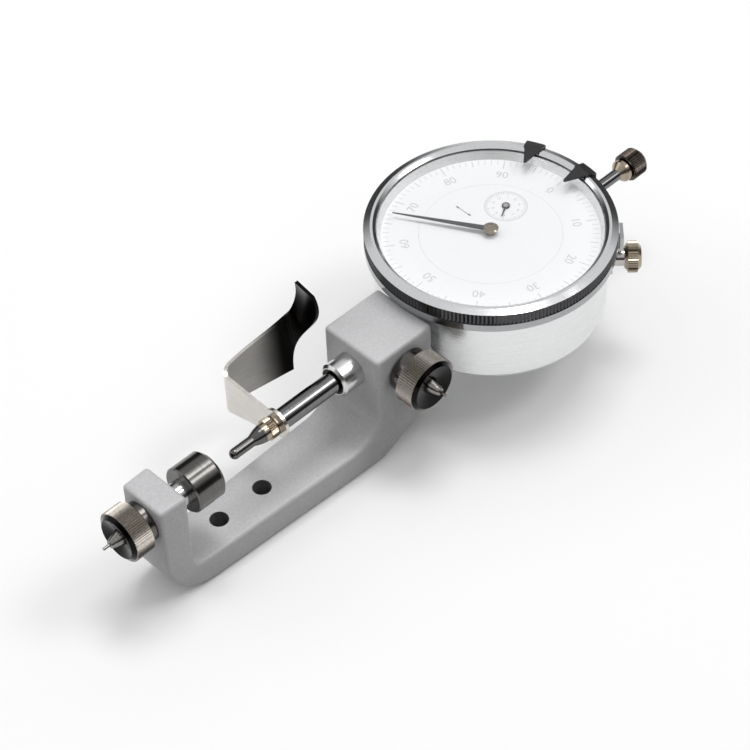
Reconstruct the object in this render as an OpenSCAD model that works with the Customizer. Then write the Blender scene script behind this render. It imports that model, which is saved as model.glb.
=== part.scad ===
// Tablet thickness tester: a cast stand that holds a dial gauge against a set-up anvil.
// Millimetres. X runs along the gauge spindle from the anvil to the gauge, Z is up,
// the origin lies on the underside midway between the two base screw holes.

/* [Casting] */
// Spacing of the two base screw holes
hole_gap = 12.5; // [10:0.5:14]
// Diameter of the base screw holes
hole_d = 4.3; // [3.4:0.1:5]
// Thickness of the floor
floor_t = 7.4; // [6:0.2:9]
// Height of the spindle axis
axis_z = 23.6; // [22:0.2:26]
// Origin to the inner face of the post
post_in = 18.5; // [17:0.5:21]
// Thickness of the post
post_t = 7.2; // [6:0.2:8]
// Width of the post
post_w = 12.2; // [10:0.2:13]
// Height of the post above the spindle axis
post_up = 6.2; // [5:0.2:7]
// Origin to the front face of the block
block_in = 34.2; // [33:0.2:37]
// Length of the block along the stem
block_l = 16.6; // [14:0.2:18]
// Width of the block
block_w = 16.7; // [14:0.2:19]
// Height of the block above the spindle axis
block_up = 7.1; // [6.8:0.1:7.4]
// Rounding of the casting's edges
edge_r = 0.9; // [0.5:0.1:1.2]
// Fillet between floor and post
post_fillet = 3; // [2:0.5:4]
// Fillet between floor and block
block_fillet = 7.5; // [5:0.5:8]
// Outer radius under the post
nose_r = 12.5; // [9:0.5:14]
// Rise of the sloping underside below the block
tail_rise = 6.6; // [3:0.2:7]

/* [Anvil] */
// Diameter of the anvil
anvil_d = 11; // [9:0.5:13]
// Length of the anvil
anvil_l = 7.7; // [7:0.1:9]
// Chamfer round the measuring face
anvil_ch = 0.8; // [0.3:0.1:1.2]
// Diameter of the anvil screw
anvil_screw_d = 6; // [5:0.5:7]
// Screw shown between post and anvil
anvil_gap = 3.7; // [3:0.1:5]
// Diameter of the anvil knob
anvil_knob_d = 12; // [11:0.5:14]
// Length of the knobs' knurled heads
knob_l = 5.6; // [5:0.2:7]
// Length of the anvil knob's neck
neck_l = 1.7; // [1.2:0.1:2.5]
// Teeth round a knob
knob_teeth = 72; // [48:4:80]

/* [Spindle and contact] */
// Gap between anvil and contact as built
gauge_gap = 5.67; // [4:0.01:8]
// Diameter of the spindle
spindle_d = 4.8; // [4.4:0.1:5]
// Length of the contact point
contact_l = 13.1; // [12:0.1:15]
// Diameter of the contact's slim shank
shank_d = 2.5; // [2:0.1:3]
// Diameter of the lifting rod behind the gauge
rod_d = 2.8; // [2.4:0.1:3.2]
// Lifting rod shown behind the bezel
rod_out = 14; // [12:0.5:18]
// Diameter of the lifting knob
lift_knob_d = 6.8; // [5.8:0.1:7.2]

/* [Lifting lever] */
// Sheet thickness of the lever
lever_t = 0.8; // [0.6:0.1:1]
// Reach of the arm beside the spindle
arm_reach = 17.5; // [16.5:0.5:19]
// Height of the blade
arm_h = 11.7; // [10:0.1:12.5]
// Length of the blade along the spindle
blade_l = 16; // [12:0.5:18]
// Rise of the thumb rest above the arm
rest_rise = 12; // [9:0.5:14]
// Width of the thumb rest
rest_w = 6.4; // [5:0.2:6.6]

/* [Stem clamp] */
// Diameter of the gauge stem
stem_d = 8; // [7.6:0.1:8.4]
// Stem shown in front of the block
stem_out = 5.6; // [4:0.2:7]
// Diameter of the clamp screw
clamp_d = 5; // [4:0.5:5]
// Diameter of the clamp knob
clamp_knob_d = 13.2; // [11:0.2:14]
// Length of the clamp knob's neck
clamp_neck = 2.6; // [2:0.1:3]
// Clearance left under the clamp knob's neck
clamp_gap = 0.5; // [0.4:0.1:0.8]

/* [Gauge case] */
// Outer radius of the case
case_r = 26.2; // [25.4:0.2:27]
// Wall of the case
case_wall = 2; // [1.6:0.2:2.2]
// Air between block and case
case_gap = 0.9; // [0.8:0.1:2]
// Depth of the case below the spindle axis
case_down = 9.4; // [8.6:0.2:11]
// Thickness of the back cover
cover_t = 1.6; // [1.4:0.1:2]

/* [Bezel and dial] */
// Underside of the bezel above the spindle axis
bezel_up = 7.6; // [7.6:0.1:8.4]
// Height of the bezel
bezel_h = 5.8; // [5.6:0.1:6.4]
// Radial thickness of the bezel over the case
bezel_wall = 2.1; // [2:0.1:2.6]
// Height of the knurled band
knurl_h = 3.1; // [2.6:0.1:3.4]
// Teeth round the bezel
bezel_teeth = 200; // [120:10:220]
// Thickness of the crystal
crystal_t = 0.8; // [0.6:0.1:1]
// Thickness of the dial
dial_t = 0.5; // [0.4:0.1:0.6]
// Radius of the fixed inner dial
dial_r = 16; // [15:0.5:18]

/* [Hands] */
// Rest angle of the main hand
main_angle = 120; // [0:1:359]
// Rest angle of the counter hand
count_angle = 209; // [0:1:359]
// Length of the main hand
main_len = 22.6; // [20:0.2:23.4]
// Length of the counter hand
count_len = 3.6; // [3:0.2:4.2]

/* [Movement] */
// Teeth of the rack pinion
pinion_n = 16; // [16:1:16]
// Travel for one turn of the counter
count_turn = 10; // [9.6:0.1:10.4]
// Module of the hand gears
gear_m = 0.17; // [0.165:0.001:0.175]
// Teeth of the large gear
gear_n = 100; // [100:1:100]
// Teeth of the centre pinion
centre_n = 10; // [10:1:10]
// Sideways offset of the pinion arbor
arbor_y = 3.55; // [3.5:0.01:3.65]
// Diameter of the arbors
arbor_d = 1.2; // [1:0.1:1.2]

/* [Limit markers] */
// Place of the first marker round the bezel
marker_a = 22.5; // [15:0.5:40]
// Place of the second marker round the bezel
marker_b = -7; // [-30:0.5:0]
// Width of a marker in degrees
marker_arc = 9; // [7:0.5:10]

/* [Bezel clamp] */
// Place of the bezel clamp round the case
bclamp_at = -45; // [-60:1:-30]
// Diameter of the bezel clamp screw
bclamp_d = 3; // [2.5:0.5:3]
// Diameter of the bezel clamp head
bclamp_head = 7.2; // [6:0.2:7.2]

/* [Fits] */
// Running clearance per side
run = 0.04; // [0.02:0.01:0.08]
// Seating clearance per side
seat = 0.02; // [0.01:0.01:0.03]
// Free air between parts that pass
air = 0.3; // [0.3:0.05:0.4]

/* [Hidden] */
$fn = 64;
eps = 0.01;
// Cutters reach this far past the faces they cut
over = 1;
bezel_z = axis_z + bezel_up;
lip_z = bezel_z + bezel_h;
block_top = axis_z + block_up;
post_top = axis_z + post_up;
post_out = post_in + post_t;
block_out = block_in + block_l;
dial_x = block_out + case_gap + case_r;
spindle_r = spindle_d / 2;
stem_r = stem_d / 2;
case_in = case_r - case_wall;
case_z = axis_z - case_down;
// Heights inside the gauge, from the lip down
lip_drop = 0.6;
crystal_z = lip_z - lip_drop - crystal_t;
rim_z = bezel_z + 1.6;
dial_z = rim_z + air;
dial_top = dial_z + dial_t;
plate_t = 1;
plate_z = dial_z - 0.9 - plate_t;
bridge_t = 0.8;
bridge_z = axis_z + spindle_r + 0.4;
hand_t = 0.2;
count_z = dial_top + 0.2;
main_z = dial_top + 1.2;
hub_top = crystal_z - 0.15;
// Places along the spindle
face_x = -post_in + anvil_gap + anvil_l;
tip_x = face_x + gauge_gap;
eye_x = tip_x + contact_l;
spindle_x = eye_x + lever_t;
bezel_r = case_r + bezel_wall;
stem_x = block_in - stem_out;
knob_x = dial_x + bezel_r + rod_out;
// Wheels
rack_p = count_turn / pinion_n;
rack_m = rack_p / PI;
rack_n = 26;
rack_half = rack_n / 2 * rack_p;
pinion_r = pinion_n * rack_m / 2;
rack_y = arbor_y - pinion_r;
mesh_d = gear_m * (gear_n + centre_n) / 2;
arbor_x = sqrt(mesh_d * mesh_d - arbor_y * arbor_y);
arbor_r = arbor_d / 2;
spindle_end = dial_x + arbor_x + rack_half + 0.75;
mesh_a = atan2(-arbor_y, -arbor_x);
wheel_t = 0.8;
wheel_z = bridge_z + bridge_t + 0.9;

// Rows of spots used by several parts
pillar_r = 14;
pillar_at = [100, 200, 290];
screw_r = case_in - 2.4;
screw_at = [45, 135, 225, 315];
pin_x = dial_x - 11.5;
pin_r = 0.7;
slide_in = gauge_gap - 0.05;
slide_out = 4.9;
// Bridge beyond the end of its slot for the guide pin
slot_end = pin_r + 0.3;
bridge_r = dial_x - pin_x + slide_in + slot_end + 1;

// Round bar along X between two places, as a revolved outline
module bar_x(x0, x1, r) {
  translate([x0, 0, axis_z]) rotate([0, 90, 0]) cylinder(h = x1 - x0, r = r);
}

// Turned part along X, outline given as [place, radius] pairs
module turned_x(pts) {
  translate([0, 0, axis_z]) rotate([0, 90, 0])
    rotate_extrude() polygon([for (p = pts) [p[1], p[0]]]);
}

// Knurled band with straight teeth between two heights
module knurl(r, depth, n, z0, z1) {
  step = 360 / n;
  translate([0, 0, z0]) linear_extrude(z1 - z0)
    polygon([for (i = [0:n - 1], k = [0, 1])
      (r - k * depth) * [cos((i + k / 2) * step), sin((i + k / 2) * step)]]);
}

// Thumb knob along Z, its neck's foot at zero and its end upward
module knob(d, neck, bore_r) {
  r = d / 2;
  root = r - knurl_d - below;
  top = neck + knob_l;
  difference() {
    union() {
      cylinder(h = neck + eps, r = neck_k * r);
      translate([0, 0, neck]) cylinder(h = rim, r1 = root - rim, r2 = root);
      knurl(r, knurl_d, knob_teeth, neck + rim, top - bevel);
      translate([0, 0, top - bevel]) cylinder(h = bevel, r1 = root, r2 = root - bevel);
    }
    translate([0, 0, top - dish]) cylinder(h = dish + eps, r1 = boss_r, r2 = root - bevel - 0.1);
    translate([0, 0, -eps]) cylinder(h = neck + bore_l + eps, r = bore_r);
  }
  translate([0, 0, top - dish - eps]) cylinder(h = dish + boss_l, r1 = boss_r, r2 = boss_tip);
  translate([0, 0, top]) cylinder(h = boss_l + pip_l, r = pip_r);
}
knurl_d = 0.3;
// Plain turned rims lie this far below the roots of a knurl
below = 0.1;
bevel = 0.8;
rim = 0.3;
neck_k = 0.8;
dish = 0.9;
boss_r = 1.9;
boss_tip = 0.9;
boss_l = 1.8;
pip_r = 0.35;
pip_l = 1.7;
// Depth of the screw's shank inside a knob's head
bore_l = knob_l / 2;
// Shank of a screw inside its knob, as a share of the screw's radius
shank_k = 0.7;

function half_step(n) = 180 / n;

// Gear outline with straight flanks, short teeth and a little backlash
module gear_2d(n, m, start) {
  rp = n * m / 2;
  tip = rp + 0.75 * m;
  root = rp - 1.05 * m;
  half = (PI * m / 2 - 0.25 * m) / 2;
  wt = half - 0.75 * m * tan(20);
  wr = half + 1.05 * m * tan(20);
  at = wt / tip * 180 / PI;
  ar = min(wr / root * 180 / PI, 176 / n);
  polygon([for (i = [0:n - 1], k = [[root, -ar], [tip, -at], [tip, at], [root, ar]])
    k[0] * [cos(start + i * 360 / n + k[1]), sin(start + i * 360 / n + k[1])]]);
}

// Ball that rounds the casting, its poles and sides on the full radius
module edge_ball() {
  rotate_extrude($fn = 16) polygon([for (a = [-90:22.5:90]) edge_r * [cos(a), sin(a)]]);
}

function arc(cx, cz, r, a0, a1, n) =
  [for (i = [0:n]) [cx + r * cos(a0 + (a1 - a0) * i / n), cz + r * sin(a0 + (a1 - a0) * i / n)]];

// Side outline of the casting, drawn smaller by the edge rounding
module casting_side() {
  e = edge_r;
  tail_x = block_in + e;
  polygon(concat(
    [[-post_in - e, post_top - e], [-post_out + e, post_top - e]],
    arc(-post_out + nose_r, nose_r, nose_r - e, 180, 270, 8),
    [[tail_x, e], [block_out - e, tail_rise + e], [block_out - e, block_top - e]],
    [[block_in + e, block_top - e]],
    arc(block_in - block_fillet, floor_t + block_fillet, block_fillet + e, 0, -90, 7),
    arc(-post_in + post_fillet, floor_t + post_fillet, post_fillet + e, 270, 180, 5)));
}

// Plan of the casting: it widens from the post to the block
module casting_plan() {
  e = edge_r;
  p = post_w / 2 - e;
  b = block_w / 2 - e;
  polygon([[-post_out, -p], [block_in, -b], [block_out, -b], [block_out, b], [block_in, b],
    [-post_out, p]]);
}

module frame_casting() {
  color("#9a9a9c") difference() {
    minkowski() {
      intersection() {
        rotate([90, 0, 0]) translate([0, 0, -block_w / 2]) linear_extrude(block_w) casting_side();
        linear_extrude(lip_z) casting_plan();
      }
      edge_ball();
    }
    for (s = [-1, 1]) translate([s * hole_gap / 2, 0, -1]) cylinder(h = floor_t + 2, d = hole_d);
    bar_x(-post_out - 1, -post_in + 1, anvil_screw_d / 2 + run);
    bar_x(block_in - 1, block_out + 1, stem_r + seat);
    translate([clamp_x, 0, axis_z]) rotate([90, 0, 0])
      cylinder(h = block_w / 2 + 1, r = clamp_d / 2 + run);
  }
}

// Anvil: a hardened disc that swivels on the nose of its screw
nose_l = 4;
anvil_nose_r = 1.7;
module anvil() {
  x0 = face_x - anvil_l;
  r = anvil_d / 2;
  color("#8f9194") turned_x([[x0, anvil_nose_r + run], [x0, r - 0.3], [x0 + 0.3, r],
    [face_x - anvil_ch, r], [face_x, r - anvil_ch], [face_x, 0], [x0 + nose_l + 0.2, 0],
    [x0 + nose_l + 0.2, anvil_nose_r + run]]);
}

module anvil_screw() {
  x0 = face_x - anvil_l;
  r = anvil_screw_d / 2;
  back = -post_out - run - neck_l - bore_l;
  color("#b4b6b8") turned_x([[back, 0], [back, r * shank_k], [-post_out - run, r * shank_k],
    [-post_out - run, r], [x0 - run, r], [x0 - run, anvil_nose_r],
    [x0 + nose_l - 0.3, anvil_nose_r], [x0 + nose_l, anvil_nose_r - 0.3], [x0 + nose_l, 0]]);
}

module anvil_knob() {
  color("#8a8478") translate([-post_out - run, 0, axis_z]) rotate([0, -90, 0])
    knob(anvil_knob_d, neck_l, anvil_screw_d / 2 * shank_k);
}

// Stem clamp, its axis across the block
clamp_x = block_in + block_l / 2;
pad_l = 2.2;
pad_y = stem_r + seat + 0.05;
pad_nose_r = 1;
module clamp_pad() {
  color("#c8a452") translate([clamp_x, -pad_y, axis_z]) rotate([90, 0, 0]) difference() {
    cylinder(h = pad_l, d = clamp_d);
    translate([0, 0, pad_l - 1.2]) cylinder(h = 2, r = pad_nose_r + run);
  }
}

module clamp_screw() {
  foot = block_w / 2 + clamp_gap - pad_y;
  color("#b4b6b8") translate([clamp_x, -pad_y, axis_z]) rotate([90, 0, 0]) {
    translate([0, 0, pad_l - 1]) cylinder(h = 1 + run + eps, r = pad_nose_r);
    translate([0, 0, pad_l + run]) cylinder(h = foot - pad_l - run, d = clamp_d);
    translate([0, 0, foot - eps])
      cylinder(h = clamp_neck + bore_l + eps, r = clamp_d / 2 * shank_k);
  }
}

module clamp_knob() {
  color("#8a8478") translate([clamp_x, -block_w / 2 - clamp_gap, axis_z]) rotate([90, 0, 0])
    knob(clamp_knob_d, clamp_neck, clamp_d / 2 * shank_k);
}

// Places a part of the gauge about its dial axis
module at_dial(z) {
  translate([dial_x, 0, z]) children();
}

// Case: a ring with bosses for stem, rear bush and back screws
collar_r = 6;
bush_r = 2.6;
wire_t = 0.4;
wire_z = bezel_z + 0.3;
wire_in = case_r - 0.4;
module gauge_case() {
  ledge = case_in + 0.7;
  color("#c9cbcd") difference() {
    union() {
      at_dial(0) rotate_extrude($fn = 128) polygon([[case_in, case_z + cover_t],
        [case_r, case_z + cover_t], [case_r, wire_z], [wire_in, wire_z],
        [wire_in, wire_z + wire_t], [case_r, wire_z + wire_t], [case_r, rim_z], [ledge, rim_z],
        [ledge, plate_z], [case_in, plate_z]]);
      bar_x(block_out + air, dial_x - case_in + 2, collar_r);
      bar_x(dial_x + case_in - 1, dial_x + case_r + 0.8, bush_r + 1.2);
      for (a = screw_at) at_dial(case_z + cover_t) rotate([0, 0, a])
        translate([screw_r, 0, 0]) cylinder(h = 7, r = 2.6);
    }
    bar_x(block_out, dial_x - case_in + 3, stem_r);
    bar_x(dial_x + case_in - 2, dial_x + case_r + 2, bush_r);
    for (a = screw_at) at_dial(case_z) rotate([0, 0, a])
      translate([screw_r, 0, 0]) cylinder(h = cover_t + 5, r = back_r);
    bclamp_frame() rotate([0, 90, 0]) cylinder(h = case_r + 1, r = bclamp_d / 2 + run);
  }
}

// Stem: a tube fixed in the case and gripped by the casting
bush_wall = 0.8;
module gauge_stem() {
  end = dial_x - case_in + 2;
  bore = spindle_r + bush_wall;
  color("#d4d6d8") turned_x([[stem_x, bore], [stem_x, stem_r - 0.6], [stem_x + 0.6, stem_r],
    [end, stem_r], [end, spindle_r + air], [stem_x + bush_l, spindle_r + air],
    [stem_x + bush_l, bore]]);
}
bush_l = 14;

module stem_bush() {
  x0 = stem_x + 1.2;
  color("#b08d4c") turned_x([[x0, spindle_r + run], [x0, spindle_r + bush_wall],
    [stem_x + bush_l, spindle_r + bush_wall], [stem_x + bush_l, spindle_r + run]]);
}

module rear_bush() {
  x0 = dial_x + case_in - 1;
  color("#b08d4c") turned_x([[x0, rod_d / 2 + run], [x0, bush_r],
    [dial_x + case_r + 1.6, bush_r], [dial_x + case_r + 1.6, rod_d / 2 + run]]);
}

// Back cover and its four sunk screws
back_r = 1;
head_r = 1.9;
head_t = 0.9;
module back_cover() {
  color("#c9cbcd") difference() {
    at_dial(case_z) rotate_extrude($fn = 128) polygon([[0, 0], [case_r - cover_t, 0],
      [case_r - cover_t / 4, cover_t / 2], [case_r, cover_t], [0, cover_t]]);
    for (a = screw_at) at_dial(case_z) rotate([0, 0, a]) translate([screw_r, 0, -1]) {
      cylinder(h = cover_t + 2, r = back_r);
      cylinder(h = 1 + head_t, r = head_r);
    }
  }
}

module back_screw(i) {
  color("#9a9ca0") at_dial(case_z) rotate([0, 0, screw_at[i]]) translate([screw_r, 0, 0])
    difference() {
      union() {
        cylinder(h = head_t, r = head_r);
        cylinder(h = cover_t + 4.5, r = back_r);
      }
      translate([-head_r - 1, -0.3, -1]) cube([2 * head_r + 2, 0.6, 1.45]);
    }
}

// Movement plates: the front plate lies on the case's ledge, the bridge hangs below it
module plate_bores(z, h) {
  at_dial(z) cylinder(h = h, r = arbor_r + run);
  at_dial(z) translate([arbor_x, arbor_y, 0]) cylinder(h = h, r = arbor_r + run);
}

module front_plate() {
  color("#c8a452") difference() {
    at_dial(plate_z) cylinder(h = plate_t, r = case_in + 0.6);
    plate_bores(plate_z - over, plate_t + 2 * over);
  }
}

module bridge_plate() {
  color("#c8a452") difference() {
    at_dial(bridge_z) cylinder(h = bridge_t, r = bridge_r);
    plate_bores(bridge_z - over, bridge_t + 2 * over);
    translate([pin_x - slide_in - slot_end, -pin_r - run, bridge_z - over])
      cube([slide_in + slide_out + 2 * slot_end, 2 * (pin_r + run), bridge_t + 2 * over]);
  }
}

module pillar(i) {
  color("#c8a452") at_dial(bridge_z + bridge_t) rotate([0, 0, pillar_at[i]])
    translate([pillar_r, 0, 0]) cylinder(h = plate_z - bridge_z - bridge_t, r = 1.4);
}

// Dial: a fixed disc on three feet inside the turning scale ring
module dial_plate() {
  color("#f4f4f2") difference() {
    union() {
      at_dial(dial_z) cylinder(h = dial_t, r = dial_r, $fn = 128);
      for (a = pillar_at) at_dial(plate_z + plate_t) rotate([0, 0, a])
        translate([pillar_r - 1.5, 0, 0]) cylinder(h = dial_z - plate_z - plate_t + eps, r = 1.4);
    }
    at_dial(dial_z - 1) cylinder(h = dial_t + 2, r = arbor_r + air);
    at_dial(dial_z - 1) translate([arbor_x, arbor_y, 0])
      cylinder(h = dial_t + 2, r = arbor_r + air);
  }
}

// Split wire ring that keeps the bezel on the case
module bezel_wire() {
  at_dial(wire_z) rotate([0, 0, 200]) color("#9a9ca0")
    rotate_extrude(angle = 340, $fn = 128)
      translate([wire_in, 0]) square([case_r - wire_in + wire_out, wire_t]);
}
wire_out = 0.35;

// Bezel: knurled ring that carries crystal, spacer and scale ring
glass_r = case_r - 0.4;
crest_r = glass_r + 1;
knurl_b = 0.25;
module bezel() {
  r = bezel_r - knurl_b - below;
  edge = lip_z - lip_drop;
  in = case_r + run;
  groove = case_r + wire_out + 2 * run;
  color("#c0c2c4") at_dial(0) union() {
    rotate_extrude($fn = 128) polygon([[in, bezel_z], [bezel_r - 0.3, bezel_z],
      [bezel_r, bezel_z + 0.3], [bezel_r, edge - knurl_h], [r, edge - knurl_h], [r, edge],
      [bezel_r, edge], [crest_r, lip_z], [glass_r + 0.4, lip_z], [glass_r - 0.3, edge + below],
      [glass_r - 0.3, edge], [glass_r, edge], [glass_r, rim_z + air / 2], [in, rim_z + air / 2],
      [in, wire_z + wire_t + run], [groove, wire_z + wire_t + run], [groove, wire_z - run],
      [in, wire_z - run]]);
    difference() {
      knurl(bezel_r - below / 2, knurl_b, bezel_teeth, edge - knurl_h, edge);
      cylinder(h = lip_z, r = r - knurl_b, $fn = 128);
    }
  }
}

module crystal() {
  color([0.85, 0.92, 0.95, 0.3]) at_dial(crystal_z) cylinder(h = crystal_t, r = glass_r, $fn = 128);
}

module spacer_ring() {
  color("#d4d6d8") at_dial(dial_top) rotate_extrude($fn = 128)
    polygon([[glass_r - 1.4, 0], [glass_r, 0], [glass_r, crystal_z - dial_top],
      [glass_r - 0.6, crystal_z - dial_top]]);
}

module dial_ring() {
  color("#f4f4f2") at_dial(dial_z) rotate_extrude($fn = 128)
    translate([dial_r + run, 0]) square([glass_r - dial_r - run, dial_t]);
}

// Limit marker: a clip bent over the bezel's lip with a pointed finger
clip_t = 0.4;
clip_l = 1;
module marker_clip(a) {
  r0 = glass_r + 0.3;
  r1 = bezel_r + air;
  edge = lip_z - lip_drop;
  top = lip_z + 2 * run;
  at_dial(0) rotate([0, 0, a - marker_arc / 2]) color("#1a1a1c")
    rotate_extrude(angle = marker_arc, $fn = 128) polygon([[r0, top], [crest_r, top],
      [r1, edge + 2 * run], [r1, edge - clip_l], [r1 + clip_t, edge - clip_l],
      [r1 + clip_t, edge + clip_t], [crest_r + 0.2, top + clip_t], [r0, top + clip_t]]);
  at_dial(top) rotate([0, 0, a]) color("#1a1a1c") linear_extrude(clip_t)
    polygon([[r0 + 0.1, -1.9], [r0 + 0.1, 1.9], [finger_r, 0.25], [finger_r, -0.25]]);
}
finger_r = 21.2;

// Bezel clamp: a hook drawn against the bezel by a thumb screw in the case
bclamp_z = bezel_z - 5.2;
hook_t = 0.8;
hook_w = 5;
module bclamp_frame() {
  translate([dial_x, 0, bclamp_z]) rotate([0, 0, bclamp_at]) children();
}

module bezel_hook() {
  r0 = case_r + 0.2;
  r1 = bezel_r + air;
  z0 = bclamp_d;
  z1 = bezel_z - bclamp_z - air;
  color("#a8aaac") bclamp_frame() difference() {
    rotate([90, 0, 0]) translate([0, 0, -hook_w / 2]) linear_extrude(hook_w)
      polygon([[r0, -z0], [r0 + hook_t, -z0], [r0 + hook_t, z1 - hook_t], [r1 + hook_t, z1 - hook_t],
        [r1 + hook_t, z1 + 3.2], [r1, z1 + 3.2], [r1, z1], [r0, z1]]);
    rotate([0, 90, 0]) cylinder(h = bezel_r, r = bclamp_d / 2 + run);
  }
}

module bezel_screw() {
  r0 = case_r + 0.2 + hook_t + run;
  r1 = bezel_r + air + hook_t + 0.4;
  head = bclamp_head / 2 - knurl_b - below;
  color("#b8a88c") bclamp_frame() rotate([0, 90, 0]) {
    translate([0, 0, case_in + 0.6]) cylinder(h = r0 - case_in, d = bclamp_d);
    translate([0, 0, r0]) cylinder(h = r1 - r0 + eps, r = bclamp_d * 0.7);
    translate([0, 0, r1]) cylinder(h = bevel, r1 = head - bevel, r2 = head);
    knurl(bclamp_head / 2, knurl_b, 36, r1 + bevel, r1 + 3);
    translate([0, 0, r1 + 3]) cylinder(h = bevel, r1 = head, r2 = head - bevel);
  }
}

// Spindle with the rack cut into its side
module rack_cut() {
  m = rack_m;
  x0 = dial_x + arbor_x - rack_half;
  t = (PI * m / 2 - 0.25 * m) / 2;
  tip = rack_y + 0.75 * m;
  root = rack_y - 1.05 * m;
  wt = t - 0.75 * m * tan(20);
  wr = t + 1.05 * m * tan(20);
  far = spindle_d;
  translate([x0, 0, axis_z - spindle_d]) linear_extrude(2 * spindle_d)
    polygon(concat([[0, far], [0, tip]],
      [for (i = [0:rack_n], k = [[-wr, root], [-wt, tip], [wt, tip], [wr, root]])
        if (!(i == 0 && k[0] < 0) && !(i == rack_n && k[0] > 0))
          [i * rack_p + k[0], k[1]]],
      [[rack_n * rack_p, tip], [rack_n * rack_p, far]]));
}

module spindle() {
  color("#c8cacc") difference() {
    bar_x(spindle_x, spindle_end, spindle_r);
    rack_cut();
    bar_x(spindle_end - 4, spindle_end + 1, rod_d / 2 - 0.3);
    bar_x(spindle_x - over, spindle_x + stud_l, stud_r);
    translate([pin_x, 0, axis_z - 1]) cylinder(h = spindle_d, r = pin_r);
  }
}
stud_r = 1.1;
stud_l = 4;

module guide_pin() {
  color("#9a9ca0") translate([pin_x, 0, axis_z - 1])
    cylinder(h = bridge_z + bridge_t - axis_z + 1, r = pin_r);
}

module lift_rod() {
  r = rod_d / 2;
  color("#c8cacc") turned_x([[spindle_end - 4, 0], [spindle_end - 4, r - 0.3],
    [spindle_end, r - 0.3], [spindle_end, r], [knob_x, r], [knob_x, 0]]);
}

module lift_knob() {
  r = lift_knob_d / 2;
  neck = r * 0.78;
  core = r - knurl_b - below;
  color("#77706a") {
    turned_x([[knob_x, 0], [knob_x, rod_d / 2], [knob_x + 1.5, neck], [knob_x + 2.4, neck],
      [knob_x + 2.4, neck - 0.5], [knob_x + 2.9, neck - 0.5], [knob_x + 2.9, core],
      [knob_x + 7, core], [knob_x + 7.8, r - 1], [knob_x + 7.8, 0]]);
    translate([0, 0, axis_z]) rotate([0, 90, 0])
      knurl(r, knurl_b, 36, knob_x + 3.2, knob_x + 7);
  }
}

// Contact point, screwed through the lever's eye into the spindle
module contact_point() {
  r = spindle_r;
  s = shank_d / 2;
  core = r - knurl_b;
  color("#a8a49c") {
    turned_x(concat([[spindle_x + stud_l - 0.5, 0], [spindle_x + stud_l - 0.5, stud_r],
      [eye_x, stud_r], [eye_x, r], [eye_x - 0.8, r], [eye_x - 0.8, core - 0.2],
      [eye_x - 1.1, core - 0.2], [eye_x - 1.1, core], [eye_x - 2.8, core],
      [eye_x - 4, r * 0.88], [eye_x - 5.2, r * 0.78], [eye_x - 6.2, r * 0.65], [eye_x - 7, s]],
      [for (a = [0:15:90]) [tip_x + s - s * sin(a), s * cos(a)]]));
    translate([0, 0, axis_z]) rotate([0, 90, 0])
      knurl(r + 0.1, knurl_b, 28, eye_x - 2.9, eye_x - 1.2);
  }
}

// Lever edges: the blade leaves the arm round a bend, then curls up into the thumb rest
bend_r = 2.2;
bend_rise = 1.1;
arm_up = 3.8;
// The arm is this much lower at its eye than at the bend
arm_taper = 4;
// The sheet leans in by this much from the bend to the blade's lower corner
lean = 2.5;
arm_z = axis_z + arm_up;
function bez(p, t) = pow(1 - t, 3) * p[0] + 3 * pow(1 - t, 2) * t * p[1]
  + 3 * (1 - t) * t * t * p[2] + pow(t, 3) * p[3];
function unit(v) = v / norm(v);
eye_mid = eye_x + lever_t / 2;
blade_n = 8;
rest_n = 18;
blade_x = eye_mid + bend_r;
blade_end = blade_x + blade_l;
far_y = arm_reach - 1.5;
near_y = far_y - rest_w;
top_edge = [[blade_x, arm_reach, arm_z], [blade_x + 0.62 * blade_l, arm_reach - 0.3, arm_z + 3.3],
  [blade_end + 5.3, far_y, arm_z + 0.9], [blade_end + 3.6, far_y, arm_z + rest_rise]];
low_edge = [[blade_end, arm_reach - lean, arm_z - arm_h], [blade_end + 0.5, far_y, arm_z + 1.8],
  [blade_end + 4.6, near_y - 3, arm_z + 1.6], [blade_end + 2.6, near_y, arm_z + rest_rise + 0.3]];
// Edge pairs along the sheet: arm, bend, blade, thumb rest
rib = concat(
  [for (k = [0, 1]) let (y = k * (arm_reach - bend_r))
    [[eye_mid, y, arm_z - bend_rise - 0.9 * (1 - k)], [eye_mid, y, arm_z - arm_h + arm_taper * (1 - k)]]],
  [for (a = [15:15:75]) let (x = eye_mid + bend_r * (1 - cos(a)), y = arm_reach - bend_r * (1 - sin(a)))
    [[x, y, arm_z - bend_rise * cos(a)], [x, y, arm_z - arm_h]]],
  [for (k = [0:blade_n]) [bez(top_edge, 0.5 * k / blade_n), [blade_x + blade_l * k / blade_n,
    arm_reach - lean * k / blade_n, arm_z - arm_h]]],
  [for (k = [1:rest_n]) [bez(top_edge, 0.5 + 0.5 * k / rest_n), bez(low_edge, k / rest_n)]]);
rib_n = len(rib);
function side(i) = let (a = rib[max(i - 1, 0)], b = rib[min(i + 1, rib_n - 1)],
  run_v = (b[0] + b[1]) - (a[0] + a[1])) unit(cross(run_v, rib[i][0] - rib[i][1])) * lever_t / 2;
module lifting_lever() {
  pts = [for (i = [0:rib_n - 1], p = [rib[i][0] + side(i), rib[i][0] - side(i),
    rib[i][1] - side(i), rib[i][1] + side(i)]) p];
  last = 4 * (rib_n - 1);
  faces = concat([[3, 2, 1, 0]], [[last, last + 1, last + 2, last + 3]],
    [for (i = [0:rib_n - 2], k = [0:3]) let (a = 4 * i + k, b = 4 * i + (k + 1) % 4)
      for (f = [[a, b, a + 4], [b, b + 4, a + 4]]) f]);
  color("#c4c2bc") difference() {
    union() {
      polyhedron(pts, faces);
      bar_x(eye_x, eye_x + lever_t, spindle_r + 1.1);
    }
    bar_x(eye_x - 1, eye_x + lever_t + 1, stud_r);
  }
}

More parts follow.
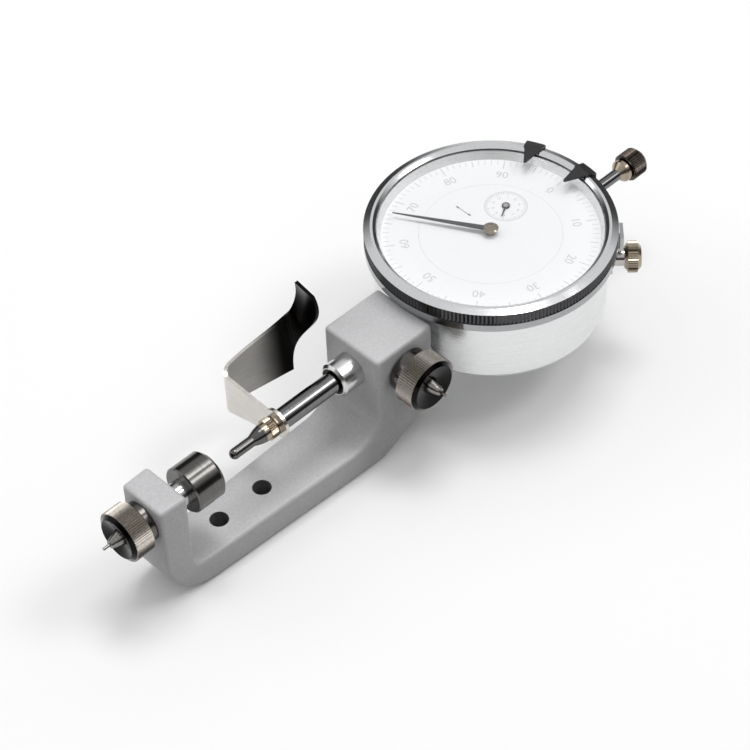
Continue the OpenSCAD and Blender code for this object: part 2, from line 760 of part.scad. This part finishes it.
// Wheels: rack pinion and large gear share the counter's arbor
module rack_pinion() {
  bottom = axis_z - 1.5;
  color("#c8a452") at_dial(0) translate([arbor_x, arbor_y, 0]) {
    translate([0, 0, bottom]) linear_extrude(3) gear_2d(pinion_n, rack_m, half_step(pinion_n) - 90);
    translate([0, 0, bottom + 1]) cylinder(h = count_z + hand_t - bottom - 1, r = arbor_r);
  }
}

module drive_gear() {
  color("#c8a452") at_dial(wheel_z) translate([arbor_x, arbor_y, 0]) difference() {
    linear_extrude(wheel_t) gear_2d(gear_n, gear_m, mesh_a);
    translate([0, 0, -1]) cylinder(h = wheel_t + 2, r = arbor_r);
    for (a = [0:90:270]) rotate([0, 0, a + mesh_a + 45]) translate([gear_n * gear_m * 0.28, 0, -1])
      cylinder(h = wheel_t + 2, r = gear_n * gear_m * 0.11);
  }
}

module centre_pinion() {
  color("#c8a452") at_dial(0) {
    translate([0, 0, wheel_z - 0.3]) linear_extrude(wheel_t + 0.6)
      gear_2d(centre_n, gear_m, mesh_a + 180 + half_step(centre_n));
    translate([0, 0, bridge_z]) cylinder(h = wheel_z - bridge_z, r = arbor_r);
    translate([0, 0, wheel_z + wheel_t]) cylinder(h = main_z + hand_t - wheel_z - wheel_t, r = arbor_r);
  }
}

// Hands, pressed on their arbors
module hand_2d(l, eye_r, w) {
  circle(r = eye_r);
  polygon([[0, -w / 2], [l, -tip_w / 2], [l, tip_w / 2], [0, w / 2]]);
}
tip_w = 0.2;

module counter_hand() {
  color("#26262a") at_dial(count_z) translate([arbor_x, arbor_y, 0]) rotate([0, 0, count_angle])
    difference() {
      linear_extrude(hand_t) hand_2d(count_len, 0.9, 0.5);
      translate([0, 0, -1]) cylinder(h = 3, r = arbor_r);
    }
}

module main_hand() {
  lift = main_z - count_z;
  color("#26262a") at_dial(count_z) rotate([0, 0, main_angle]) difference() {
    union() {
      cylinder(h = lift + eps, r = sleeve_r);
      translate([0, 0, lift]) linear_extrude(hand_t) hand_2d(main_len, 1.5, 1.5);
    }
    translate([0, 0, -over]) cylinder(h = lift + hand_t + 2 * over, r = arbor_r);
  }
}
// Sleeve that carries the main hand above the counter, and the hub on top
sleeve_r = 1.1;
hub_r = 1.75;

module hand_hub() {
  h = hub_top - main_z - hand_t;
  color("#b08d4c") at_dial(main_z + hand_t) rotate_extrude()
    polygon([[0, 0], [hub_r, 0], [hub_r, h * 0.5], [hub_r - 0.3, h * 0.85], [hub_r - 0.9, h], [0, h]]);
}

frame_casting();
anvil();
anvil_screw();
anvil_knob();
clamp_pad();
clamp_screw();
clamp_knob();
gauge_case();
gauge_stem();
stem_bush();
rear_bush();
back_cover();
back_screw(0);  // back_screw_a
back_screw(1);  // back_screw_b
back_screw(2);  // back_screw_c
back_screw(3);  // back_screw_d
front_plate();
bridge_plate();
pillar(0);  // pillar_a
pillar(1);  // pillar_b
pillar(2);  // pillar_c
dial_plate();
bezel_wire();
bezel();
crystal();
dial_ring();
spacer_ring();
marker_clip(marker_a);  // marker_clip_a
marker_clip(marker_b);  // marker_clip_b
bezel_hook();
bezel_screw();
spindle();
lift_rod();
lift_knob();
contact_point();
lifting_lever();
guide_pin();
rack_pinion();
drive_gear();
counter_hand();
centre_pinion();
main_hand();
hand_hub();
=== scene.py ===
import bmesh
import bpy
import math
from mathutils import Matrix, Vector


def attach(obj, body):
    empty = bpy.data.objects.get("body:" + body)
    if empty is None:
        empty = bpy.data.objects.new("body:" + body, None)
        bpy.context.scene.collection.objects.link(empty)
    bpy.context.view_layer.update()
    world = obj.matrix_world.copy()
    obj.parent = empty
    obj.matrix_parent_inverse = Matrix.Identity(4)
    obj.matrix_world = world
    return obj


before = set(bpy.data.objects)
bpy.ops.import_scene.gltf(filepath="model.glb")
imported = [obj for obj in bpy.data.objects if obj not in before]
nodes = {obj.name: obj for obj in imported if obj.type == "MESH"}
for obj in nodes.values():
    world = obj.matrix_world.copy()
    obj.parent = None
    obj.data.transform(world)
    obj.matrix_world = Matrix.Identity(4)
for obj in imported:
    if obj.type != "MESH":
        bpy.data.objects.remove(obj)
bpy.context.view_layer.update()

MM = 0.001

# Places shared with the part's source, in millimetres
DIAL_X = 77.9
AXIS_Z = 23.6
DIAL_TOP = 33.6
ARBOR = (8.6499, 3.55)
HOLE_X = 6.25
ANVIL_KNOB_X = -25.74
CLAMP_X = 42.5
CLAMP_KNOB_Y = -8.85

# Where one look gives way to another on the same piece, in millimetres
# Span along x where the lever's painted dark reflection fades in towards the thumb rest
REST_PAINTED_DARK = (19.6, 28.4)
HOLE_R = 2.4
BOSS_R = 1.9
BOSS_DEEP = 0.6
DISH_R = 4.6
DISH_DEEP = 1.0
BEVEL = 0.75
ANVIL_NECK = 1.75
ANVIL_RIM = 7.3
CLAMP_NECK = 2.65
CLAMP_RIM = 8.2
KNURL_LOW = 33.4
KNURL_TOP = 36.4
KNURL_R = 27.4
LIFT_NECK_X = 122.55
SCREW_NECK_R = 30
HAND_EYE_R = 1.15
HAND_EYE_UP = 1.19
CONTACT_KNURL_X = 7.5

# Noise scales that draw lines round a turned axis, and an even grain
ROUND_X = (9000, 120, 120)
ROUND_Y = (120, 9000, 120)
ROUND_Z = (120, 120, 9000)
FINE = (2600, 2600, 2600)

# Materials


def new_mat(name):
    m = bpy.data.materials.new(name)
    m.use_nodes = True
    nt = m.node_tree
    return m, nt, nt.nodes["Principled BSDF"]


def node(nt, kind, **vals):
    n = nt.nodes.new(kind)
    for k, v in vals.items():
        if k in n.inputs:
            n.inputs[k].default_value = v
        else:
            setattr(n, k, v)
    return n


def grey(v):
    return (v, v, v, 1)


def coords(nt, scale=(1, 1, 1)):
    tc = node(nt, "ShaderNodeTexCoord")
    mp = node(nt, "ShaderNodeMapping")
    mp.inputs["Scale"].default_value = scale
    nt.links.new(tc.outputs["Object"], mp.inputs["Vector"])
    return mp.outputs["Vector"]


def ramp(nt, src, lo, hi, p0=0.3, p1=0.7):
    r = node(nt, "ShaderNodeValToRGB")
    r.color_ramp.elements[0].position = p0
    r.color_ramp.elements[1].position = p1
    r.color_ramp.elements[0].color = (*lo, 1)
    r.color_ramp.elements[1].color = (*hi, 1)
    nt.links.new(src, r.inputs["Fac"])
    return r.outputs["Color"]


def spread(nt, src, lo, hi):
    r = node(nt, "ShaderNodeMapRange")
    r.inputs["To Min"].default_value = lo
    r.inputs["To Max"].default_value = hi
    nt.links.new(src, r.inputs["Value"])
    return r.outputs["Result"]


def add_bump(nt, bsdf, height, strength, distance):
    b = node(nt, "ShaderNodeBump")
    b.inputs["Strength"].default_value = strength
    b.inputs["Distance"].default_value = distance
    nt.links.new(height, b.inputs["Height"])
    nt.links.new(b.outputs["Normal"], bsdf.inputs["Normal"])


def metal(name, lo, hi, rough, scale, bump=0.1):
    """Metal with fine machining lines; scale stretches the noise along the cut."""
    m, nt, b = new_mat(name)
    b.inputs["Metallic"].default_value = 1.0
    n = node(nt, "ShaderNodeTexNoise", Scale=1.0, Detail=4.0, Roughness=0.6)
    nt.links.new(coords(nt, scale), n.inputs["Vector"])
    nt.links.new(ramp(nt, n.outputs["Fac"], lo, hi), b.inputs["Base Color"])
    nt.links.new(spread(nt, n.outputs["Fac"], rough[0], rough[1]), b.inputs["Roughness"])
    add_bump(nt, b, n.outputs["Fac"], bump, 0.00002)
    return m


def cast_paint():
    """Grey paint on a casting: wide soft patches under a fine grain."""
    m, nt, b = new_mat("cast_paint")
    big = node(nt, "ShaderNodeTexNoise", Scale=60.0, Detail=3.0, Roughness=0.5)
    fine = node(nt, "ShaderNodeTexNoise", Scale=1500.0, Detail=3.0, Roughness=0.6)
    for n in (big, fine):
        nt.links.new(coords(nt), n.inputs["Vector"])
    shade = ramp(nt, big.outputs["Fac"], (0.55, 0.55, 0.56), (0.61, 0.61, 0.62))
    grain = ramp(nt, fine.outputs["Fac"], (0.86, 0.86, 0.86), (1.0, 1.0, 1.0))
    mix = node(nt, "ShaderNodeMixRGB", blend_type="MULTIPLY", Fac=1.0)
    nt.links.new(shade, mix.inputs["Color1"])
    nt.links.new(grain, mix.inputs["Color2"])
    nt.links.new(mix.outputs["Color"], b.inputs["Base Color"])
    nt.links.new(spread(nt, fine.outputs["Fac"], 0.30, 0.48), b.inputs["Roughness"])
    add_bump(nt, b, fine.outputs["Fac"], 0.30, 0.00008)
    return m


def lever_metal():
    """Brushed sheet with a painted dark reflection that fades in along x towards the thumb rest."""
    m, nt, b = new_mat("brushed_lever")
    b.inputs["Metallic"].default_value = 1.0
    n = node(nt, "ShaderNodeTexNoise", Scale=1.0, Detail=4.0, Roughness=0.6)
    nt.links.new(coords(nt, (240, 240, 5000)), n.inputs["Vector"])
    bright = ramp(nt, n.outputs["Fac"], (0.58, 0.555, 0.52), (0.74, 0.715, 0.68))
    sep = node(nt, "ShaderNodeSeparateXYZ")
    nt.links.new(coords(nt), sep.inputs["Vector"])
    painted_dark_fade = node(nt, "ShaderNodeMapRange", interpolation_type="SMOOTHSTEP")
    painted_dark_fade.inputs["From Min"].default_value = REST_PAINTED_DARK[0] * MM
    painted_dark_fade.inputs["From Max"].default_value = REST_PAINTED_DARK[1] * MM
    nt.links.new(sep.outputs["X"], painted_dark_fade.inputs["Value"])
    # near black colour of the painted dark reflection on the thumb rest
    mix = node(nt, "ShaderNodeMixRGB", Color2=(0.008, 0.0075, 0.007, 1))
    nt.links.new(painted_dark_fade.outputs["Result"], mix.inputs["Fac"])
    nt.links.new(bright, mix.inputs["Color1"])
    nt.links.new(mix.outputs["Color"], b.inputs["Base Color"])
    nt.links.new(spread(nt, n.outputs["Fac"], 0.18, 0.30), b.inputs["Roughness"])
    return m


def plain(name, lo, hi, rough, scale=900.0, bump=0.05):
    """Paint, print or plastic with a faint even grain."""
    m, nt, b = new_mat(name)
    n = node(nt, "ShaderNodeTexNoise", Scale=scale, Detail=3.0, Roughness=0.6)
    nt.links.new(coords(nt), n.inputs["Vector"])
    nt.links.new(ramp(nt, n.outputs["Fac"], lo, hi), b.inputs["Base Color"])
    nt.links.new(spread(nt, n.outputs["Fac"], rough[0], rough[1]), b.inputs["Roughness"])
    add_bump(nt, b, n.outputs["Fac"], bump, 0.00002)
    return m


def glass():
    """Clear crystal that lets lamp light and bounced light straight through to the dial."""
    m, nt, b = new_mat("clear_crystal")
    b.inputs["Base Color"].default_value = (1, 1, 1, 1)
    b.inputs["Roughness"].default_value = 0.01
    b.inputs["IOR"].default_value = 1.49
    b.inputs["Transmission Weight"].default_value = 1.0
    out = nt.nodes["Material Output"]
    clear = node(nt, "ShaderNodeBsdfTransparent")
    path = node(nt, "ShaderNodeLightPath")
    mix = node(nt, "ShaderNodeMixShader")
    either = node(nt, "ShaderNodeMath", operation="MAXIMUM")
    nt.links.new(path.outputs["Is Shadow Ray"], either.inputs[0])
    nt.links.new(path.outputs["Is Diffuse Ray"], either.inputs[1])
    nt.links.new(either.outputs["Value"], mix.inputs["Fac"])
    nt.links.new(b.outputs["BSDF"], mix.inputs[1])
    nt.links.new(clear.outputs["BSDF"], mix.inputs[2])
    nt.links.new(mix.outputs["Shader"], out.inputs["Surface"])
    return m


M = {
    "paint": cast_paint(),
    "steel_x": metal(
        "ground_steel", (0.36, 0.36, 0.365), (0.50, 0.50, 0.505), (0.12, 0.24), ROUND_X),
    "anvil": metal(
        "hard_steel", (0.10, 0.097, 0.092), (0.16, 0.155, 0.148), (0.13, 0.22), ROUND_X),
    "spindle": metal(
        "polished_spindle", (0.15, 0.15, 0.153), (0.22, 0.22, 0.224), (0.10, 0.18), ROUND_X, bump=0.05),
    "stem": metal(
        "polished_stem", (0.56, 0.555, 0.55), (0.70, 0.695, 0.69), (0.17, 0.26), ROUND_X, bump=0.05),
    "nickel": metal(
        "nickel_knurl", (0.19, 0.172, 0.155), (0.36, 0.335, 0.305), (0.22, 0.38), FINE),
    "turned_x": metal(
        "turned_end_x", (0.44, 0.42, 0.40), (0.58, 0.56, 0.54), (0.10, 0.20), ROUND_X),
    "turned_y": metal(
        "turned_end_y", (0.44, 0.42, 0.40), (0.58, 0.56, 0.54), (0.10, 0.20), ROUND_Y),
    # knob end dish and bevel painted near black as a dark reflection
    "end_painted_reflection": metal(
        "dish_painted_dark_reflection", (0.006, 0.006, 0.006), (0.016, 0.015, 0.014), (0.16, 0.26), FINE),
    # knob neck between the knurl and the post or block, painted darker as shade
    "neck": metal(
        "knob_neck_painted_shade", (0.085, 0.08, 0.075), (0.15, 0.142, 0.132), (0.14, 0.24), FINE),
    "boss": metal(
        "knob_boss", (0.20, 0.19, 0.18), (0.30, 0.285, 0.27), (0.12, 0.22), FINE),
    "bronze": metal(
        "dark_lift_knob", (0.075, 0.062, 0.052), (0.15, 0.128, 0.11), (0.18, 0.34), ROUND_X),
    "gold": metal(
        "warm_nickel", (0.30, 0.25, 0.19), (0.46, 0.40, 0.32), (0.14, 0.28), ROUND_X),
    "chrome": metal(
        "chrome_bezel", (0.72, 0.73, 0.745), (0.80, 0.81, 0.825), (0.11, 0.15), FINE, bump=0.02),
    # knurled band of the bezel painted near black as a dark reflection
    "knurl": metal(
        "bezel_knurl_painted_dark_reflection", (0.05, 0.05, 0.053), (0.09, 0.09, 0.094), (0.14, 0.26), ROUND_Z, bump=0.04),
    "lip": metal(
        "smooth_lip", (0.34, 0.345, 0.355), (0.42, 0.425, 0.435), (0.12, 0.18), FINE, bump=0.02),
    "lever": lever_metal(),
    "alloy": metal(
        "satin_case", (0.74, 0.745, 0.75), (0.84, 0.845, 0.85), (0.20, 0.34), ROUND_Z),
    "ring": metal(
        "satin_ring", (0.74, 0.745, 0.75), (0.82, 0.825, 0.83), (0.22, 0.30), FINE, bump=0.02),
    # walls of the casting's base holes painted dark as the shade inside them
    "bore": plain(
        "hole_wall_painted_shade", (0.11, 0.11, 0.113), (0.16, 0.16, 0.164), (0.35, 0.50)),
    "brass": metal(
        "turned_brass", (0.50, 0.37, 0.15), (0.64, 0.49, 0.23), (0.18, 0.32), ROUND_X),
    "bush": metal(
        "dark_bush", (0.10, 0.09, 0.08), (0.17, 0.155, 0.14), (0.20, 0.34), ROUND_X),
    "hub": metal(
        "hub_bronze", (0.22, 0.188, 0.148), (0.36, 0.31, 0.255), (0.08, 0.15), FINE),
    "dial": plain(
        "dial_white", (0.84, 0.845, 0.86), (0.88, 0.885, 0.90), (0.40, 0.55), 2200.0, 0.03),
    # dial and counter print painted pale grey as if washed out by glare; the real print is black
    "print": plain(
        "dial_print_painted_glare", (0.54, 0.545, 0.57), (0.62, 0.625, 0.65), (0.5, 0.7)),
    "fine_print": plain(
        "counter_print_painted_glare", (0.40, 0.405, 0.43), (0.50, 0.505, 0.53), (0.5, 0.7)),
    "mark": plain(
        "arrow_print", (0.10, 0.105, 0.12), (0.16, 0.165, 0.18), (0.5, 0.7)),
    "black": plain(
        "marker_black", (0.010, 0.010, 0.011), (0.018, 0.018, 0.020), (0.28, 0.42), 1200.0, 0.12),
    "hand": plain(
        "hand_black", (0.010, 0.010, 0.016), (0.020, 0.020, 0.028), (0.25, 0.40)),
    "glass": glass(),
}
LOOK = {
    "anvil": "anvil",
    "anvil_screw": "steel_x",
    "clamp_pad": "brass",
    "clamp_screw": "turned_y",
    "gauge_case": "alloy",
    "gauge_stem": "stem",
    "stem_bush": "bush",
    "rear_bush": "brass",
    "back_cover": "alloy",
    "back_screw_a": "steel_x",
    "back_screw_b": "steel_x",
    "back_screw_c": "steel_x",
    "back_screw_d": "steel_x",
    "front_plate": "brass",
    "bridge_plate": "brass",
    "pillar_a": "brass",
    "pillar_b": "brass",
    "pillar_c": "brass",
    "dial_plate": "dial",
    "bezel_wire": "steel_x",
    "crystal": "glass",
    "dial_ring": "dial",
    "spacer_ring": "ring",
    "marker_clip_a": "black",
    "marker_clip_b": "black",
    "bezel_hook": "steel_x",
    "spindle": "spindle",
    "lift_rod": "spindle",
    "lifting_lever": "lever",
    "guide_pin": "steel_x",
    "drive_gear": "brass",
    "counter_hand": "hand",
    "centre_pinion": "brass",
    "hand_hub": "hub",
}
for name, look in LOOK.items():
    mesh = nodes[name].data
    mesh.materials.clear()
    mesh.materials.append(M[look])

# Pieces with more than one look


def by_face(name, looks, pick):
    """Give each face the look that pick chooses from its centre in millimetres and its normal."""
    mesh = nodes[name].data
    mesh.materials.clear()
    for look in looks:
        mesh.materials.append(M[look])
    for p in mesh.polygons:
        p.material_index = pick(p.center / MM, p.normal)


def dial_r(c):
    return math.hypot(c.x - DIAL_X, c.y)


def in_hole(c, n):
    return int(abs(n.z) < 0.5 and math.hypot(abs(c.x) - HOLE_X, c.y) < HOLE_R)


def knob_face(along, across, neck_end, rim):
    """Looks of a thumb knob by place: 0 knurl, 1 boss and pin, 2 bevel and dish painted near black as a
    dark reflection, 3 neck painted darker as shade.
    """
    def pick(c, n):
        d = along(c)
        r = across(c)
        if d > rim or (d > rim - BOSS_DEEP and r < BOSS_R):
            return 1
        if d < neck_end:
            return 3
        dished = d > rim - DISH_DEEP and r < DISH_R
        return 2 if dished or d > rim - BEVEL else 0
    return pick


anvil_knob_face = knob_face(
    lambda c: ANVIL_KNOB_X - c.x, lambda c: math.hypot(c.y, c.z - AXIS_Z), ANVIL_NECK, ANVIL_RIM)
clamp_knob_face = knob_face(
    lambda c: CLAMP_KNOB_Y - c.y, lambda c: math.hypot(c.x - CLAMP_X, c.z - AXIS_Z), CLAMP_NECK, CLAMP_RIM)


def bezel_face(c, n):
    """Looks of the bezel by place: 0 shoulder and inside, 1 knurled band painted near black as a dark
    reflection, 2 lower lip.
    """
    if c.z > KNURL_TOP or dial_r(c) < KNURL_R:
        return 0
    return 1 if c.z > KNURL_LOW else 2


# the casting's base hole walls get painted shade
by_face("frame_casting", ("paint", "bore"), in_hole)
# each knob's end gets a painted dark reflection and its neck painted shade
by_face("anvil_knob", ("nickel", "boss", "end_painted_reflection", "neck"), anvil_knob_face)
by_face("clamp_knob", ("nickel", "boss", "end_painted_reflection", "neck"), clamp_knob_face)
by_face("bezel", ("chrome", "knurl", "lip"), bezel_face)
by_face("lift_knob", ("bronze", "gold"), lambda c, n: int(c.x < LIFT_NECK_X))
by_face("bezel_screw", ("gold", "turned_x"), lambda c, n: int(dial_r(c) < SCREW_NECK_R))
by_face("main_hand", ("hand", "hub"), lambda c, n: int(
    c.z < DIAL_TOP + HAND_EYE_UP and dial_r(c) < HAND_EYE_R))
by_face("rack_pinion", ("brass", "turned_x"), lambda c, n: int(c.z > DIAL_TOP))
by_face("contact_point", ("anvil", "gold"), lambda c, n: int(c.x > CONTACT_KNURL_X))

# Smooth shading on the rounded casting and the bent lever, with their sharp edges kept
WELD_GAP = 0.000002
SHARP_DEG = 34
for name in ("frame_casting", "lifting_lever"):
    mesh = nodes[name].data
    mesh.polygons.foreach_set("use_smooth", [True] * len(mesh.polygons))
    weld = nodes[name].modifiers.new("weld", "WELD")
    weld.merge_threshold = WELD_GAP
    split = nodes[name].modifiers.new("split", "EDGE_SPLIT")
    split.split_angle = math.radians(SHARP_DEG)

# Dial print, in millimetres from the dial's centre
PRINT_T = 0.012
OUT_R = 24.1
NUMBER_R = 19.3
NUMBER_SIZE = 2.9
COUNTER_R = 4.75
COUNTER_LINE = 0.1
COUNTER_LONG = 3.7
COUNTER_SHORT = 4.1
COUNTER_NUMBER_R = 3.0
COUNTER_NUMBER_SIZE = 0.95
RING = 96
ARROW_X = 1.0
ARROW_0 = 6.9
ARROW_1 = 11.9
ARROW_BACK = 0.9
ARROW_LINE = 0.08
ARROW_HEAD = 0.3


def flat_mesh(name, polys, z, mat, body):
    """Thin printed marks: each polygon is a list of x, y points in millimetres from the dial's centre."""
    bm = bmesh.new()
    for poly in polys:
        vs = [bm.verts.new(((DIAL_X + x) * MM, y * MM, z * MM)) for x, y in poly]
        bm.faces.new(vs)
    bmesh.ops.recalc_face_normals(bm, faces=bm.faces)
    for f in bm.faces:
        if f.normal.z < 0:
            f.normal_flip()
    ext = bmesh.ops.extrude_face_region(bm, geom=list(bm.faces))
    up = [v for v in ext["geom"] if isinstance(v, bmesh.types.BMVert)]
    bmesh.ops.translate(bm, verts=up, vec=(0, 0, PRINT_T * MM))
    bmesh.ops.recalc_face_normals(bm, faces=bm.faces)
    me = bpy.data.meshes.new(name)
    bm.to_mesh(me)
    bm.free()
    me.materials.append(mat)
    o = bpy.data.objects.new(name, me)
    bpy.context.scene.collection.objects.link(o)
    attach(o, body)


def turn(x, y, a):
    c, s = math.cos(a), math.sin(a)
    return (x * c - y * s, x * s + y * c)


def tick(r0, r1, w, a):
    return [turn(r0, -w / 2, a), turn(r1, -w / 2, a), turn(r1, w / 2, a), turn(r0, w / 2, a)]


def at_arbor(poly):
    return [(ARBOR[0] + x, ARBOR[1] + y) for x, y in poly]


def words(name, items, size, z, mat, body):
    """Numbers as flat mesh: items are text, place from the dial's centre and turn."""
    objs = []
    for text, x, y, a in items:
        cu = bpy.data.curves.new(name, "FONT")
        cu.body = text
        cu.size = size * MM
        cu.align_x = "CENTER"
        cu.align_y = "CENTER"
        cu.extrude = PRINT_T / 2 * MM
        tmp = bpy.data.objects.new(name + "_tmp", cu)
        bpy.context.scene.collection.objects.link(tmp)
        place = Matrix.Translation(((DIAL_X + x) * MM, y * MM, (z + PRINT_T / 2) * MM))
        tmp.matrix_world = place @ Matrix.Rotation(a, 4, "Z")
        objs.append(tmp)
    bpy.context.view_layer.update()
    dg = bpy.context.evaluated_depsgraph_get()
    bm = bmesh.new()
    for o in objs:
        me = bpy.data.meshes.new_from_object(o.evaluated_get(dg))
        me.transform(o.matrix_world)
        bm.from_mesh(me)
        bpy.data.meshes.remove(me)
    bmesh.ops.remove_doubles(bm, verts=bm.verts, dist=1e-7)
    out = bpy.data.meshes.new(name)
    bm.to_mesh(out)
    bm.free()
    out.materials.append(mat)
    for o in objs:
        cu = o.data
        bpy.data.objects.remove(o)
        bpy.data.curves.remove(cu)
    res = bpy.data.objects.new(name, out)
    bpy.context.scene.collection.objects.link(res)
    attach(res, body)


scale_marks = []
for i in range(100):
    a = -math.radians(3.6 * i)
    deep = 2.6 if i % 10 == 0 else 2.0 if i % 5 == 0 else 1.4
    scale_marks.append(tick(OUT_R - deep, OUT_R, 0.22 if i % 5 == 0 else 0.14, a))
flat_mesh("scale_marks", scale_marks, DIAL_TOP, M["print"], "bezel_body")

numbers = []
for k in range(10):
    a = -math.radians(36 * k)
    x, y = turn(NUMBER_R, 0, a)
    numbers.append((str(10 * k), x, y, a - math.pi / 2))
words("scale_numbers", numbers, NUMBER_SIZE, DIAL_TOP, M["print"], "bezel_body")

inner = []
for i in range(50):
    r0 = COUNTER_LONG if i % 5 == 0 else COUNTER_SHORT
    inner.append(at_arbor(tick(r0, COUNTER_R, COUNTER_LINE, math.radians(7.2 * i))))
for i in range(RING):
    a0, a1 = 2 * math.pi * i / RING, 2 * math.pi * (i + 1) / RING
    far_r = COUNTER_R + COUNTER_LINE
    inner.append(at_arbor(
        [turn(COUNTER_R, 0, a0), turn(far_r, 0, a0), turn(far_r, 0, a1), turn(COUNTER_R, 0, a1)]))
flat_mesh("counter_marks", inner, DIAL_TOP, M["fine_print"], "frame")

y0, y1 = ARROW_0 + ARROW_BACK, ARROW_1 - ARROW_BACK
x0, x1 = ARROW_X - ARROW_LINE, ARROW_X + ARROW_LINE
arrow = [[(x0, y0), (x1, y0), (x1, y1), (x0, y1)]]
for y, d in ((ARROW_0, 1), (ARROW_1, -1)):
    arrow.append([(ARROW_X, y), (ARROW_X + ARROW_HEAD, y + d), (ARROW_X - ARROW_HEAD, y + d)])
flat_mesh("direction_mark", arrow, DIAL_TOP, M["mark"], "frame")

small = []
for k in range(10):
    x, y = turn(COUNTER_NUMBER_R, 0, math.radians(36 * k))
    small.append((str(k), ARBOR[0] + x, ARBOR[1] + y, -math.pi / 2))
words("counter_numbers", small, COUNTER_NUMBER_SIZE, DIAL_TOP, M["fine_print"], "frame")

# Lamps, floor and sky, in metres
MID = (0.035, 0.0, 0.02)
FLOOR_HALF = 9
FLOOR_DROP = 0.0003
FLOOR_BOUNCE = 0.38
FLOOR_SEEN = 0.95
SKY = ((0.0, 0.3), (0.10, 0.05), (0.42, 0.05), (0.62, 0.74), (1.0, 0.74))


def area(name, loc, size, power, size_y=None):
    li = bpy.data.lights.new(name, "AREA")
    li.energy = power
    li.size = size
    if size_y:
        li.shape = "RECTANGLE"
        li.size_y = size_y
    o = bpy.data.objects.new(name, li)
    bpy.context.scene.collection.objects.link(o)
    o.location = loc
    d = Vector(MID) - Vector(loc)
    o.rotation_euler = d.to_track_quat("-Z", "Y").to_euler()


area("key", (0.39, 0.13, 1.62), size=0.7, power=8.8, size_y=0.5)
area("side", (0.83, -0.65, 1.36), size=0.5, power=4.8)
area("rim", (-0.60, 0.75, 0.45), size=0.8, power=2.0)


def floor_white():
    """Pale floor: full colour where it is seen or mirrored, darker in the light that it throws back."""
    m, nt, b = new_mat("floor_white")
    seen = node(nt, "ShaderNodeLightPath")
    glance = node(nt, "ShaderNodeMath", operation="MAXIMUM")
    shown = node(nt, "ShaderNodeMath", operation="MAXIMUM")
    nt.links.new(seen.outputs["Is Glossy Ray"], glance.inputs[0])
    nt.links.new(seen.outputs["Is Transmission Ray"], glance.inputs[1])
    nt.links.new(seen.outputs["Is Camera Ray"], shown.inputs[0])
    nt.links.new(glance.outputs["Value"], shown.inputs[1])
    pale = node(nt, "ShaderNodeMixRGB", Color1=grey(FLOOR_BOUNCE), Color2=grey(FLOOR_SEEN))
    nt.links.new(shown.outputs["Value"], pale.inputs["Fac"])
    nt.links.new(pale.outputs["Color"], b.inputs["Base Color"])
    b.inputs["Roughness"].default_value = 0.9
    b.inputs["Specular IOR Level"].default_value = 0.0
    return m


F = FLOOR_HALF
floor_me = bpy.data.meshes.new("floor")
floor_me.from_pydata([(-F, -F, 0), (F, -F, 0), (F, F, 0), (-F, F, 0)], [], [(0, 1, 2, 3)])
floor = bpy.data.objects.new("floor", floor_me)
bpy.context.scene.collection.objects.link(floor)
floor.location.z = -FLOOR_DROP
floor_me.materials.append(floor_white())

world = bpy.data.worlds.new("studio")
bpy.context.scene.world = world
world.use_nodes = True
wn = world.node_tree
bg = wn.nodes["Background"]
wtc = node(wn, "ShaderNodeTexCoord")
rise = node(wn, "ShaderNodeSeparateXYZ")
wn.links.new(wtc.outputs["Generated"], rise.inputs["Vector"])
sky = node(wn, "ShaderNodeValToRGB")
stops = sky.color_ramp.elements
for stop, (at, v) in zip((stops[0], stops[1]), (SKY[0], SKY[-1])):
    stop.position = at
    stop.color = grey(v)
for at, v in SKY[1:-1]:
    stops.new(at).color = grey(v)
wn.links.new(rise.outputs["Z"], sky.inputs["Fac"])
wn.links.new(sky.outputs["Color"], bg.inputs["Color"])
bg.inputs["Strength"].default_value = 1.0

# Camera at the photograph's viewing angle
LENS = 123.66
SENSOR = 36.0
CAM_AT = (-0.22407, -0.28747, 0.42786)
RIGHT = Vector((0.71199, -0.70149, -0.03135))
UP = Vector((0.52444, 0.50154, 0.68806))
BACK = Vector((-0.46694, -0.50634, 0.72498))
cam_data = bpy.data.cameras.new("camera")
cam = bpy.data.objects.new("camera", cam_data)
bpy.context.scene.collection.objects.link(cam)
cam_data.sensor_width = SENSOR
cam_data.lens = LENS
cam_data.clip_start = 0.01
rot = Matrix((RIGHT, UP, BACK)).transposed().to_4x4()
cam.matrix_world = Matrix.Translation(CAM_AT) @ rot
bpy.context.scene.camera = cam
bpy.context.scene.view_settings.view_transform = "Standard"
